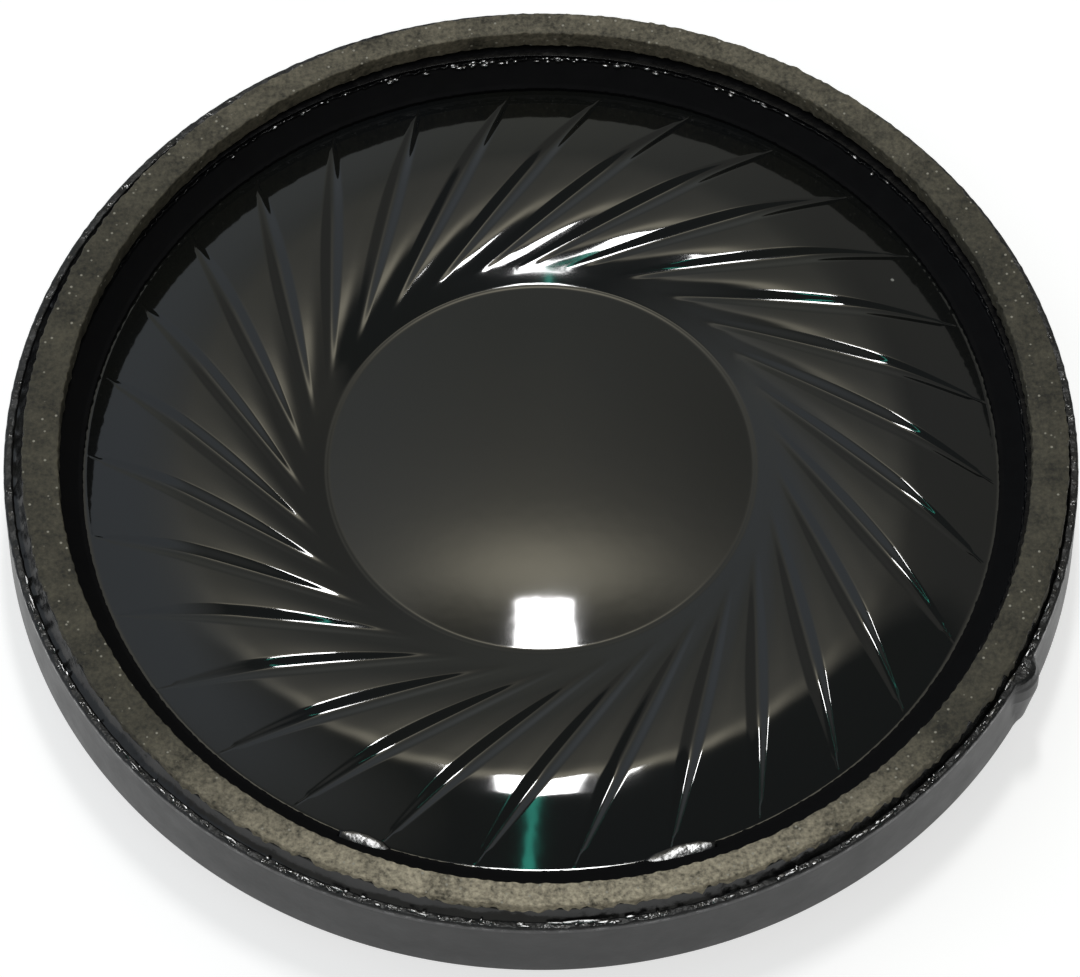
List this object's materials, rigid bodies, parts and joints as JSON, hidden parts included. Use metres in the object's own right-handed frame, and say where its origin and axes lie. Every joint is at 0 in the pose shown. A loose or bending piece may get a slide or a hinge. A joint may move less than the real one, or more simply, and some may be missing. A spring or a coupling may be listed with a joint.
{
  "type": "miniature loudspeaker",
  "caption": "Flat round loudspeaker: moulded basket, card front gasket and a pressed film with a central dome and slanting grooves, driven by a coil in a magnet pot.",
  "frame": {"origin": "middle of the magnet pot's flat back, which the speaker rests on, under the middle of the rim", "axes": "+Z out of the front, along the coil's travel; +Y towards the terminals; the key lug is 27.5 degrees below +X"},
  "size_m": [0.04, 0.04, 0.0056],
  "materials": {
    "basket_plastic": "satin moulded plastic, near black",
    "ring_plastic": "black, wet with glue",
    "gasket_card": "matte fibrous card, olive grey",
    "black_glue": "glossy black glue",
    "film": "glossy smoke-grey pressed film",
    "amber_glue": "clear amber glue",
    "copper_wire": "enamelled copper wire",
    "plated_steel": "zinc-plated steel",
    "magnet_nickel": "nickel-plated sintered magnet",
    "vent_cloth": "fine woven damping cloth",
    "board_laminate": "brown paper laminate",
    "pad_tin": "tinned copper foil",
    "solder": "bright solder",
    "red_paint": "red paint dot"
  },
  "bodies": {
    "root": {"basket": "basket_plastic", "clamp_ring": "ring_plastic", "front_gasket": "gasket_card", "gasket_adhesive": "black_glue", "diaphragm_adhesive": "black_glue", "lead_wire_positive": "copper_wire", "lead_wire_negative": "copper_wire", "lead_sealant": "black_glue", "magnet_pot": "plated_steel", "magnet_bond": "amber_glue", "magnet": "magnet_nickel", "plate_bond": "amber_glue", "pole_plate": "plated_steel", "pot_adhesive": "black_glue", "vent_mesh": "vent_cloth", "terminal_board": "board_laminate", "pad_positive": "pad_tin", "pad_negative": "pad_tin", "solder_positive": "solder", "solder_negative": "solder", "polarity_mark": "red_paint"},
    "moving_coil": {"diaphragm": "film", "coil_adhesive": "amber_glue", "voice_coil": "copper_wire"}
  },
  "joints": [
    {"name": "coil_travel", "type": "slide", "parent": "root", "child": "moving_coil", "axis": [0, 0, 1], "range_m": [-0.0003, 0.0003], "stiffness_N_per_m": 2800, "deforming": ["diaphragm", "lead_wire_positive", "lead_wire_negative"]}
  ]
}
